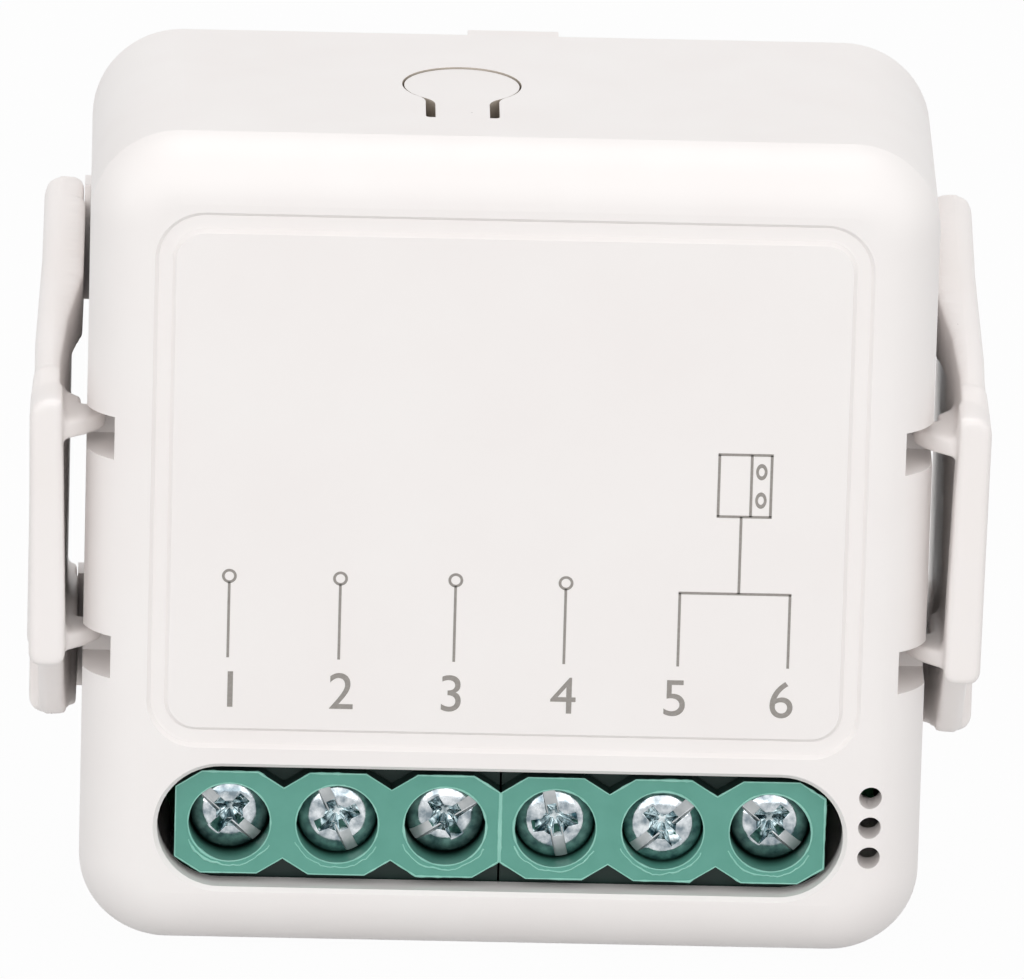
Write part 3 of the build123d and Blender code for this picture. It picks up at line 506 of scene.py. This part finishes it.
# A ring of ink round a point
def inkRing(shape, centre, radius, stretch=1.0):
    sides, half = marks["ringSides"], marks["lineWidth"] / 2
    for step in range(sides):
        turns = [2 * math.pi * (step + more) / sides for more in (0, 1)]
        corners = []
        for reach, order in ((radius + half, turns), (radius - half, turns[::-1])):
            for turn in order:
                corners.append((centre[0] + reach * math.cos(turn),
                                centre[1] + reach * stretch * math.sin(turn)))
        inkOutline(shape, corners)


def makeWiringMarks():
    shape = bmesh.new()
    half = marks["lineWidth"] / 2
    for place, height in zip(marks["ringPlaces"], marks["ringHeights"]):
        inkRing(shape, (place, height), marks["ringRadius"])
        inkStrip(shape, (place, height - marks["ringRadius"]), (place, marks["lineBottom"]))
    left, right, top = marks["forkLeft"], marks["forkRight"], marks["forkTop"]
    inkStrip(shape, (left - half, top), (right + half, top))
    for place in (left, right):
        inkStrip(shape, (place, top), (place, marks["lineBottom"]))
    low, high = marks["symbolBottom"], marks["symbolTop"]
    inkStrip(shape, (marks["stemPlace"], top), (marks["stemPlace"], low))
    west, east = marks["symbolLeft"], marks["symbolRight"]
    divider = west + marks["symbolDivider"] * (east - west)
    for place in (west, east, divider):
        inkStrip(shape, (place, low), (place, high))
    for height in (low, high):
        inkStrip(shape, (west - half, height), (east + half, height))
    for share in marks["symbolHoles"]:
        inkRing(shape, ((divider + east) / 2, low + share * (high - low)), marks["symbolHoleRadius"],
                marks["symbolHoleStretch"])
    bmesh.ops.recalc_face_normals(shape, faces=shape.faces)
    placeMesh("wiring_marks", meshFrom(shape, "wiring_marks", [inkGrey]), "module")


# Numbers of the six terminals
def makeNumbers():
    for number, place in enumerate(marks["numberPlaces"], start=1):
        text = bpy.data.curves.new(f"number_{number}", "FONT")
        text.body = str(number)
        text.align_x = "CENTER"
        text.align_y = "CENTER"
        text.size = marks["numberHeight"] / marks["numeralShare"] * mm
        text.extrude = marks["thickness"] / 2 * mm
        text.resolution_u = 8
        upright = Matrix.Translation((
            place * mm, frontFace - marks["thickness"] / 2 * mm, caseBottom + marks["numberMiddle"] * mm,
        )) @ Matrix.Rotation(math.pi / 2, 4, "X")
        placeCurve(f"terminal_number_{number}", text, upright, inkGrey, "module")


makeWiringMarks()
makeNumbers()

# Terminal screws: a polished pan head whose rim mirrors the dark well round it, a sawn slot with a
# flat satin floor, and a punched cross recess whose steep facets run down to a bright coined dish
print("making the screws")
screw = {
    "turns": (-42.0, -65.0, 33.0, -78.0, 41.0, -41.0),   # degrees, as the solids have them
    "sides": 56,
    "headThickness": 1.4,     # mm, as are the other sizes
    "domeTilts": (            # share of the radius, and degrees that the dome has tilted there
        (0.2, 1.0), (0.4, 4.0), (0.55, 8.0), (0.66, 12.0), (0.75, 17.0), (0.82, 24.0),
        (0.88, 34.0), (0.93, 46.0), (0.97, 60.0), (1.0, 78.0),
    ),
    "headChamfer": 0.05,      # under the head
    "shankRadius": 1.25,
    "shankChamfer": 0.15,
    "slotWidth": 0.62,
    "slotDepth": 0.4,
    "slotTaper": 0.9,         # share of its width at its floor
    "crossReach": 1.12,
    "crossHalfWidth": 0.31,
    "crossFacet": 0.27,       # cut off each inner corner of the cross
    "crossDepth": 1.1,
    "crossBottom": 0.2,       # share of its size that the recess keeps at its bottom
    "dishReach": 0.62,        # of the square dish at the middle of the cross
    "dishTop": 0.5,           # depths that it spans
    "dishBottom": 0.78,
    "dishKeep": 0.1,          # share of its size at its bottom
    "edge": 0.045,            # rounding of the cut edges
    "edgeAngle": 26.0,        # degrees from which an edge is rounded
    "sharpAngle": 24.0,       # degrees from which an edge is shaded sharp
    "slotOverrun": 3.0,       # reach of the slot's cutter, well past the head
    "slotAbove": 0.3,         # how far above the head the cutters start
    "crossAbove": 0.06,
}
# Numbers of the cuts' finishes, after the head's own
slotFinish, crossFinish, dishFinish = 1, 2, 3
screwFinishes = (
    finishes["zinc_screw"],
    makeZincPlatedSteel("slotSteelSawn", "#B9BCBD", "#A3A8AA", 0.34),
    makeZincPlatedSteel("recessSteelPunched", "#E6EFF1", "#3F5B63", 0.05),
    makeZincPlatedSteel("dishSteelCoined", "#FDFEFE", "#EDF2F4", 0.3),
)


# Radius and depth of the turned shape, from the dome's middle to the shank's tip, in millimetres
def headOutline(radius, length):
    outline = [(0.0, 0.0)]
    tilt = 0.0
    for share, nextTilt in screw["domeTilts"]:
        step = radius * share - outline[-1][0]
        fall = step * math.tan(math.radians((tilt + nextTilt) / 2))
        outline.append((radius * share, outline[-1][1] + fall))
        tilt = nextTilt
    thickness, shank = screw["headThickness"], screw["shankRadius"]
    return outline + [
        (radius, thickness - screw["headChamfer"]), (radius - screw["headChamfer"], thickness),
        (shank, thickness), (shank, length - screw["shankChamfer"]),
        (shank - screw["shankChamfer"], length), (0.0, length),
    ]


# Spins an outline round the axis of depth
def revolveOutline(shape, outline):
    verts = [shape.verts.new((radius * mm, depth * mm, 0)) for radius, depth in outline]
    edges = [shape.edges.new(pair) for pair in zip(verts[:-1], verts[1:])]
    bmesh.ops.spin(shape, geom=verts + edges, cent=(0, 0, 0), axis=(0, 1, 0), angle=2 * math.pi,
                   steps=screw["sides"], use_duplicate=False)
    bmesh.ops.remove_doubles(shape, verts=shape.verts, dist=1e-7)
    bmesh.ops.recalc_face_normals(shape, faces=shape.faces)


# A cutter that runs from one outline down to another, both in millimetres, and leaves its finish
def cutterObject(name, outline, top, keep, bottom, finishNumber):
    shape = bmesh.new()
    rings = []
    for keepX, keepZ, depth in ((1, 1, top), (*keep, bottom)):
        rings.append([shape.verts.new((x * keepX * mm, depth * mm, z * keepZ * mm)) for x, z in outline])
    for step in range(len(outline)):
        more = (step + 1) % len(outline)
        shape.faces.new((rings[0][step], rings[0][more], rings[1][more], rings[1][step]))
    for ring in rings:
        shape.faces.new(ring)
    bmesh.ops.recalc_face_normals(shape, faces=shape.faces)
    mesh = meshFrom(shape, name, screwFinishes)
    for face in mesh.polygons:
        face.material_index = finishNumber
    return linkObject(name, mesh)


# The cross, at a share of its size at the head's face
def crossOutline(share):
    reach, half, facet = screw["crossReach"], screw["crossHalfWidth"], screw["crossFacet"]
    corners = []
    for quarter in range(4):
        turn = Matrix.Rotation(quarter * math.pi / 2, 2)
        for x, z in ((reach, -half), (reach, half), (half + facet, half), (half, half + facet)):
            corners.append(turn @ Vector((x, z)) * share)
    return corners


def screwCutters():
    over, half = screw["slotOverrun"], screw["slotWidth"] / 2
    slot = [(-over, -half), (over, -half), (over, half), (-over, half)]
    above, depth, keep = screw["crossAbove"], screw["crossDepth"], screw["crossBottom"]
    grow = 1 + above / depth * (1 - keep)
    dish = screw["dishReach"]
    square = [(0, -dish), (dish, 0), (0, dish), (-dish, 0)]
    return [
        cutterObject("slotCutter", slot, -screw["slotAbove"], (1, screw["slotTaper"]), screw["slotDepth"],
                     slotFinish),
        cutterObject("crossCutter", crossOutline(grow), -above, (keep / grow, keep / grow), depth,
                     crossFinish),
        cutterObject("dishCutter", square, screw["dishTop"], (screw["dishKeep"], screw["dishKeep"]),
                     screw["dishBottom"], dishFinish),
    ]


def makeScrew(number):
    low, high = screwBoxes[number - 1]
    middle = screwPlaces[number - 1]
    shape = bmesh.new()
    revolveOutline(shape, headOutline((high.x - low.x) / 2 / mm, (high.y - low.y) / mm))
    name = f"screw_head_{number}"
    head = linkObject(name, meshFrom(shape, name, screwFinishes))
    cutters = screwCutters()
    for cutter in cutters:
        cut = head.modifiers.new("cut", "BOOLEAN")
        cut.object = cutter
        cut.operation = "DIFFERENCE"
        cut.solver = "EXACT"
    applyModifiers(head)
    for cutter in cutters:
        bpy.data.objects.remove(cutter)
    rounding = head.modifiers.new("edges", "BEVEL")
    rounding.width = screw["edge"] * mm
    rounding.segments = 2
    rounding.limit_method = "ANGLE"
    rounding.angle_limit = math.radians(screw["edgeAngle"])
    rounding.use_clamp_overlap = True
    applyModifiers(head)
    # The slot lies along X, and turns about the screw's own axis as seen from the front
    turned = Matrix.Rotation(-math.radians(screw["turns"][number - 1]), 4, "Y")
    head.data.transform(Matrix.Translation((middle.x, low.y, middle.z)) @ turned)
    head.data.update()
    for face in head.data.polygons:
        face.use_smooth = True
    head.data.set_sharp_from_angle(angle=math.radians(screw["sharpAngle"]))
    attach(head, f"screw_body_{number}")
    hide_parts(f"terminal_screw_{number}")


for screwNumber in range(1, 7):
    makeScrew(screwNumber)

# Flash on the terminals: thin, uneven burrs along the lobes' front edges and round the wells, paler than the
# terminals as a painted highlight on those edges
print("making the flash")
flash = {
    "radius": 0.034,          # mm, of the thinnest burrs
    "spread": 0.06,           # mm that they grow by in places
    "waver": 1.7,             # mm over which they change
    "jag": 0.25,              # mm, of the finer changes, and between the thread's points
    "jagShare": 0.8,
    "sunk": 0.01,             # mm that their middle lies behind the face
    "arcRadius": 2.13,        # mm, of the scar under each well
    "arcStray": 0.09,         # mm that it strays
    "arcWaves": (3, 14),      # slow and quick strays, per radian
    "arcQuickShare": 0.5,
    "arcStart": 205.0,        # degrees
    "arcEnd": 330.0,
    "arcSteps": 30,
    "seamReach": 1.7,         # mm up and down, of the burr over the gap between the two blocks
}


# Edges between the front face and what turns away from it, as chains of points
def rimChains(node):
    shape = bmesh.new()
    shape.from_mesh(nodes[node].data)
    shape.transform(nodes[node].matrix_world)
    bmesh.ops.remove_doubles(shape, verts=shape.verts, dist=1e-6)
    shape.normal_update()
    inFront = {face for face in shape.faces
               if face.normal.y < -0.99 and abs(face.calc_center_median().y - terminalFront) < 1e-5}
    rims = [edge for edge in shape.edges
            if len(edge.link_faces) == 2 and sum(face in inFront for face in edge.link_faces) == 1]
    chains = []
    left = dict.fromkeys(rims)
    while left:
        edge = left.popitem()[0]
        chain = [edge.verts[0], edge.verts[1]]
        growing = True
        while growing:
            growing = False
            for more in chain[-1].link_edges:
                if more in left:
                    del left[more]
                    chain.append(more.other_vert(chain[-1]))
                    growing = True
                    break
        chains.append([vert.co.copy() for vert in chain])
    shape.free()
    return chains


# The scar under a well, as a chain of points
def arcChain(middle):
    chain = []
    for step in range(flash["arcSteps"] + 1):
        share = step / flash["arcSteps"]
        turn = math.radians(flash["arcStart"] + (flash["arcEnd"] - flash["arcStart"]) * share)
        slowWave, quickWave = flash["arcWaves"]
        slow = noise.noise(Vector((middle.x / mm, turn * slowWave, 0)))
        quick = noise.noise(Vector((middle.x / mm, turn * quickWave, 2)))
        reach = (flash["arcRadius"] + flash["arcStray"] * (slow + flash["arcQuickShare"] * quick)) * mm
        chain.append(Vector((middle.x + reach * math.cos(turn), terminalFront,
                             middle.z + reach * math.sin(turn))))
    return chain


# Adds a chain to a curve, as a thread that grows and shrinks along its way
def addBurr(curve, chain):
    closed = (chain[0] - chain[-1]).length < 1e-6
    points = []
    for start, end in zip(chain[:-1], chain[1:]):
        steps = max(1, round((end - start).length / (flash["jag"] * mm)))
        points += [start.lerp(end, step / steps) for step in range(steps)]
    if not closed:
        points.append(chain[-1])
    spline = curve.splines.new("POLY")
    spline.points.add(len(points) - 1)
    spline.use_cyclic_u = closed
    for point, place in zip(spline.points, points):
        slow = noise.noise(place / (flash["waver"] * mm))
        quick = noise.noise(place / (flash["jag"] * mm))
        extra = max(0.0, slow + flash["jagShare"] * quick) * flash["spread"]
        point.co = (place.x, place.y + flash["sunk"] * mm, place.z, 1)
        point.radius = (flash["radius"] + extra) / flash["radius"]


def makeFlash(name, node):
    curve = bpy.data.curves.new(name, "CURVE")
    curve.dimensions = "3D"
    curve.bevel_depth = flash["radius"] * mm
    curve.bevel_resolution = 1
    low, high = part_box(node)
    chains = rimChains(node) + [arcChain(middle) for middle in screwPlaces if low.x < middle.x < high.x]
    if node == "terminal_block_left":
        gap = (high.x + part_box("terminal_block_right")[0].x) / 2
        reach = flash["seamReach"] * mm
        chains.append([Vector((gap, terminalFront, screwPlaces[0].z + step)) for step in (-reach, reach)])
    for chain in chains:
        addBurr(curve, chain)
    burr = placeCurve(name, curve, Matrix(), flashWithPaintedHighlight, "module")
    for face in burr.data.polygons:
        face.use_smooth = True


makeFlash("flash_left", "terminal_block_left")
makeFlash("flash_right", "terminal_block_right")

# Clip arms: the solid's shape with softly melted edges, as a moulded arm has them, and fuller legs
print("making the arms")
arm = {
    "voxel": 0.13,            # mm
    "smoothing": 9,           # rounds
    "keep": 0.35,             # share of the faces that stays
    # Fillet behind the finger bar: mm across, from the front, and the heights between which it lies
    "fillet": (
        (20.9, 2.3, 14.4, 26.5), (22.1, 2.3, 14.4, 26.5), (21.9, 6.4, 12.6, 27.6), (20.9, 6.4, 12.6, 27.6),
    ),
    # Plans of the legs' fuller outer and inner sides: mm across and from the front
    "outerSide": ((21.0, 7.0), (22.0, 7.0), (21.8, 14.4), (21.8, 19.75), (21.0, 19.75)),
    "innerSide": ((20.9, 8.3), (20.5, 8.3), (19.85, 12.0), (19.85, 18.1), (20.6, 18.1)),
    "cornerRound": 0.85,      # mm, of the legs' outer corners
    "roundBehind": 4.0,       # mm from the front, where that round starts
    "upperLeg": 26.05,        # mm, the legs' ends at the window between them
    "lowerLeg": 12.35,
    "lowerShare": 0.935,      # of the solid's lower legs' length
    "upperRim": (26.85, 2.6, 0.2733),    # mm up at a depth, and its slope
    "lowerRim": (6.85, 14.4, -0.3),
}


# A prism between two heights at each of its corners
def addPrism(shape, corners, side):
    rings = []
    for level in (2, 3):
        rings.append([
            shape.verts.new((side * corner[0] * mm, frontFace + corner[1] * mm, corner[level] * mm))
            for corner in corners
        ])
    added = [shape.faces.new(ring) for ring in rings]
    for step in range(len(corners)):
        more = (step + 1) % len(corners)
        added.append(shape.faces.new((rings[0][step], rings[0][more], rings[1][more], rings[1][step])))
    bmesh.ops.recalc_face_normals(shape, faces=added)


# Heights of the legs' rims in millimetres, at a depth
def upperRim(depth):
    height, start, slope = arm["upperRim"]
    return height + slope * (depth - start)


def lowerRim(depth):
    height, start, slope = arm["lowerRim"]
    return height + slope * min(0.0, depth - start)


# How far out the legs' fuller outer side lies in millimetres, at a depth
def outerReach(depth):
    (front, frontDepth), (back, backDepth) = arm["outerSide"][1:3]
    share = min(1.0, max(0.0, (depth - frontDepth) / (backDepth - frontDepth)))
    return front - (front - back) * share


# Pulls the legs' outer corners in to a round, and the lower legs up a little
def roundLegs(mesh, side):
    radius = arm["cornerRound"]
    for vert in mesh.vertices:
        across, depth, height = side * vert.co.x / mm, (vert.co.y - frontFace) / mm, vert.co.z / mm
        outer = outerReach(depth)
        outward = max(0.0, radius - (outer - across))
        for rim, way in ((upperRim(depth), 1), (lowerRim(depth), -1)):
            beyond = radius - way * (rim - height)
            far = math.hypot(outward, beyond)
            if beyond > 0 and far > radius and depth > arm["roundBehind"]:
                across = outer - radius + outward * radius / far
                height = rim - way * (radius - beyond * radius / far)
        if height < arm["lowerLeg"]:
            height = arm["lowerLeg"] - (arm["lowerLeg"] - height) * arm["lowerShare"]
        vert.co.x, vert.co.z = side * across * mm, height * mm


def makeSoftArm(node, side, body):
    shape = bmesh.new()
    shape.from_mesh(nodes[node].data)
    shape.transform(nodes[node].matrix_world)
    addPrism(shape, arm["fillet"], side)
    for plan in (arm["outerSide"], arm["innerSide"]):
        addPrism(shape, [(across, depth, arm["upperLeg"], upperRim(depth)) for across, depth in plan], side)
        addPrism(shape, [(across, depth, lowerRim(depth), arm["lowerLeg"]) for across, depth in plan], side)
    name = f"{node}_soft"
    piece = placeMesh(name, meshFrom(shape, name, [finishes["white_bracket"]]), body)
    remesh = piece.modifiers.new("remesh", "REMESH")
    remesh.mode = "VOXEL"
    remesh.voxel_size = arm["voxel"] * mm
    remesh.use_smooth_shade = True
    applyModifiers(piece)
    roundLegs(piece.data, side)
    smooth = piece.modifiers.new("smooth", "SMOOTH")
    smooth.factor = 0.5
    smooth.iterations = arm["smoothing"]
    fewer = piece.modifiers.new("fewer", "DECIMATE")
    fewer.ratio = arm["keep"]
    applyModifiers(piece)
    for face in piece.data.polygons:
        face.use_smooth = True
    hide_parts(node)


makeSoftArm("right_clip_arm", 1, "right_arm_body")
makeSoftArm("left_clip_arm", -1, "left_arm_body")

# Floor, lights and camera
print("setting the stage")
stageValues = {
    "floorColour": "#C0C0C0",
    "floorSize": 3.0,         # m to each side
    "floorGap": 0.02,         # mm under the object
    "whiteShare": 0.97,       # of the floor's look that is plain white for the camera
    "lensAway": (-0.02, -0.95, 0.314),   # which way the camera stands
    "lensTone": 0.03,         # how dark the camera's own place looks in metal
    "lensSpread": (0.955, 0.985),  # cosines of the angles over which that fades
    "worldStrength": 0.56,
    "lampAim": (0.0, 0.0, 0.02),
    "key": {"place": (-0.75, -0.55, 0.3), "size": 0.6, "power": 1.3},
    "fill": {"place": (0.7, -0.55, 0.3), "size": 0.6, "power": 1.15},
    "front": {"place": (-0.05, -0.98, 0.27), "size": 0.9, "power": 4.45},
    "top": {"place": (0.05, 0.1, 0.95), "size": 0.7, "power": 2.1},
}


# One for rays that show the background: from the camera, or by way of metal or glass
def seenDirectly(tree):
    path = addNode(tree, "LightPath")
    first = addNode(tree, "Math", {"operation": "MAXIMUM"},
                    {0: path.outputs["Is Camera Ray"], 1: path.outputs["Is Glossy Ray"]})
    both = addNode(tree, "Math", {"operation": "MAXIMUM"},
                   {0: first.outputs[0], 1: path.outputs["Is Transmission Ray"]})
    return both.outputs[0]


def makeFloor():
    material = bpy.data.materials.new("floorPaperMatt")
    material.use_nodes = True
    tree = material.node_tree
    tree.nodes.clear()
    paper = addNode(tree, "BsdfDiffuse", {"Color": toLinear(stageValues["floorColour"])})
    white = addNode(tree, "Emission", {"Color": (1, 1, 1, 1), "Strength": 1.0})
    share = addNode(tree, "Math", {"operation": "MULTIPLY", 1: stageValues["whiteShare"]},
                    {0: seenDirectly(tree)})
    mix = addNode(tree, "MixShader", {}, {0: share.outputs[0], 1: paper.outputs[0], 2: white.outputs[0]})
    addNode(tree, "OutputMaterial", {}, {"Surface": mix.outputs[0]})
    shape = bmesh.new()
    bmesh.ops.create_grid(shape, x_segments=1, y_segments=1, size=stageValues["floorSize"])
    floor = linkObject("floor", meshFrom(shape, "floor", [material]))
    floor.location.z = cadBox[0][2] - stageValues["floorGap"] * mm


def makeWorld():
    world = bpy.data.worlds.new("studio")
    bpy.context.scene.world = world
    world.use_nodes = True
    tree = world.node_tree
    tree.nodes.clear()
    soft = addNode(tree, "Background", {"Color": (1, 1, 1, 1), "Strength": stageValues["worldStrength"]})
    # White all round but for the dark camera itself, which only polished metal shows
    away = addNode(tree, "VectorMath", {"operation": "DOT_PRODUCT", 1: stageValues["lensAway"]},
                   {0: addNode(tree, "TexCoord").outputs["Generated"]})
    tone = addNode(tree, "MapRange", {
        "interpolation_type": "SMOOTHSTEP",
        "From Min": stageValues["lensSpread"][0], "From Max": stageValues["lensSpread"][1],
        "To Min": 1.0, "To Max": stageValues["lensTone"],
    }, {"Value": away.outputs["Value"]})
    white = addNode(tree, "Background", {"Color": (1, 1, 1, 1)}, {"Strength": tone.outputs["Result"]})
    mix = addNode(tree, "MixShader", {}, {0: seenDirectly(tree), 1: soft.outputs[0], 2: white.outputs[0]})
    addNode(tree, "OutputWorld", {}, {"Surface": mix.outputs[0]})


def addLamp(name):
    values = stageValues[name]
    light = bpy.data.lights.new(name, "AREA")
    light.shape = "SQUARE"
    light.size = values["size"]
    light.energy = values["power"]
    place = Vector(values["place"])
    aim = (Vector(stageValues["lampAim"]) - place).to_track_quat("-Z", "Y").to_matrix().to_4x4()
    linkObject(name + "Lamp", light).matrix_world = Matrix.Translation(place) @ aim


cameraValues = {
    "lens": 552.6,            # mm on a sensor 36 mm wide
    "sensor": 36.0,
    "distance": 0.724,        # m from the aim
    "nearest": 0.05,
    "azimuth": -1.237,        # degrees, positive to the right of the object
    "elevation": 18.31,
    "roll": 1.57,
    "aim": (0.14, -8.6, 22.6),  # mm
}


def addCamera():
    values = cameraValues
    azimuth, elevation, roll = (math.radians(values[key]) for key in ("azimuth", "elevation", "roll"))
    outward = Vector((math.sin(azimuth) * math.cos(elevation), -math.cos(azimuth) * math.cos(elevation),
                      math.sin(elevation)))
    level = Vector((math.cos(azimuth), math.sin(azimuth), 0))
    upright = outward.cross(level)
    right = level * math.cos(roll) + upright * math.sin(roll)
    up = outward.cross(right)
    place = Vector(values["aim"]) * mm + outward * values["distance"]
    turn = Matrix((right, up, outward)).transposed().to_4x4()
    camera = linkObject("camera", bpy.data.cameras.new("camera"))
    camera.data.sensor_width = values["sensor"]
    camera.data.lens = values["lens"]
    camera.data.clip_start = values["nearest"]
    camera.matrix_world = Matrix.Translation(place) @ turn
    bpy.context.scene.camera = camera


makeFloor()
makeWorld()
for lampName in ("key", "fill", "front", "top"):
    addLamp(lampName)
addCamera()
bpy.context.scene.view_settings.view_transform = "Standard"

bpy.context.view_layer.update()
print("done")
